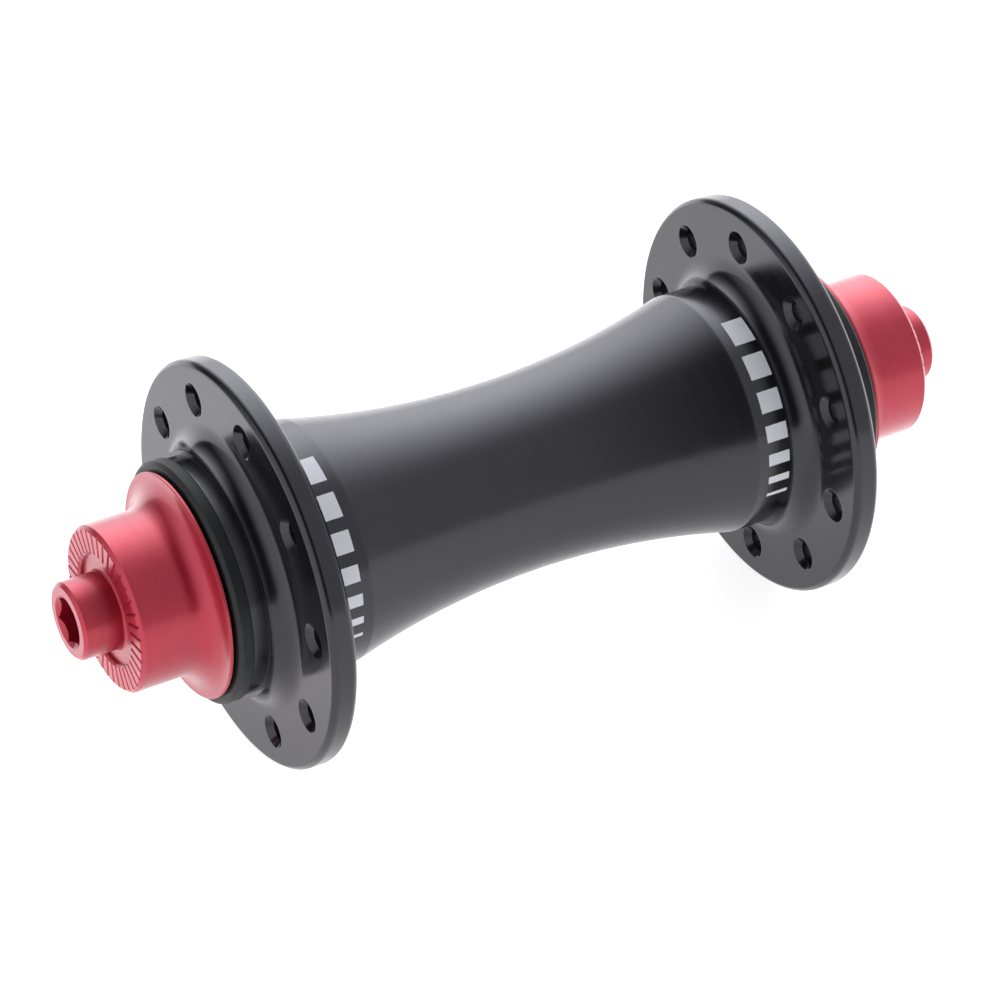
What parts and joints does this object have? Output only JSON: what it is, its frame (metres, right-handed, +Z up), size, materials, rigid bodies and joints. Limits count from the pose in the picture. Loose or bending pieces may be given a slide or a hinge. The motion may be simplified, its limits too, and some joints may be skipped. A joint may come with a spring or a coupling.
{
  "type": "bicycle front hub",
  "caption": "Front bicycle hub with a waisted black shell, drilled spoke flanges, cartridge bearings and red end caps with serrated clamping faces and socketed stubs.",
  "frame": {"origin": "centre of the hub, on its axis, midway between the two clamping faces", "axes": "+Y along the hub's axis towards the right end, +Z up; turning about Y changes nothing but the spoke holes' places"},
  "size_m": [0.047, 0.1086, 0.0468],
  "materials": {
    "black_alloy": "black anodised, satin, fine turning marks",
    "red_alloy": "red anodised, satin, fine turning marks",
    "dark_ring": "matte dark grey",
    "axle_alloy": "turned",
    "bearing_steel": "ground",
    "ball_steel": "polished",
    "cage_nylon": "moulded",
    "seal_rubber": "matte"
  },
  "bodies": {
    "axle": {"axle_tube": "axle_alloy", "end_cap_left": "red_alloy", "end_cap_right": "red_alloy", "cap_o_ring_left": "seal_rubber", "cap_o_ring_right": "seal_rubber", "bearing_inner_race_left": "bearing_steel", "bearing_inner_race_right": "bearing_steel"},
    "shell": {"hub_shell": "black_alloy", "dust_ring_left": "dark_ring", "dust_ring_right": "dark_ring", "lip_seal_left": "seal_rubber", "lip_seal_right": "seal_rubber", "bearing_outer_race_left": "bearing_steel", "bearing_outer_race_right": "bearing_steel", "bearing_shield_outer_left": "seal_rubber", "bearing_shield_outer_right": "seal_rubber", "bearing_shield_inner_left": "seal_rubber", "bearing_shield_inner_right": "seal_rubber"},
    "left_cage": {"bearing_cage_left": "cage_nylon", "bearing_balls_left": "ball_steel"},
    "right_cage": {"bearing_cage_right": "cage_nylon", "bearing_balls_right": "ball_steel"}
  },
  "joints": [
    {"name": "shell_spin", "type": "hinge", "parent": "axle", "child": "shell", "pos_m": [0, 0, 0], "axis": [0, 1, 0], "continuous": true},
    {"name": "left_cage_spin", "type": "hinge", "parent": "axle", "child": "left_cage", "pos_m": [0, -0.036, 0], "axis": [0, 1, 0], "continuous": true},
    {"name": "right_cage_spin", "type": "hinge", "parent": "axle", "child": "right_cage", "pos_m": [0, 0.036, 0], "axis": [0, 1, 0], "continuous": true}
  ],
  "couplings": [
    {"joint": "left_cage_spin", "follows": "shell_spin", "ratio": 0.58819},
    {"joint": "right_cage_spin", "follows": "shell_spin", "ratio": 0.58819}
  ]
}
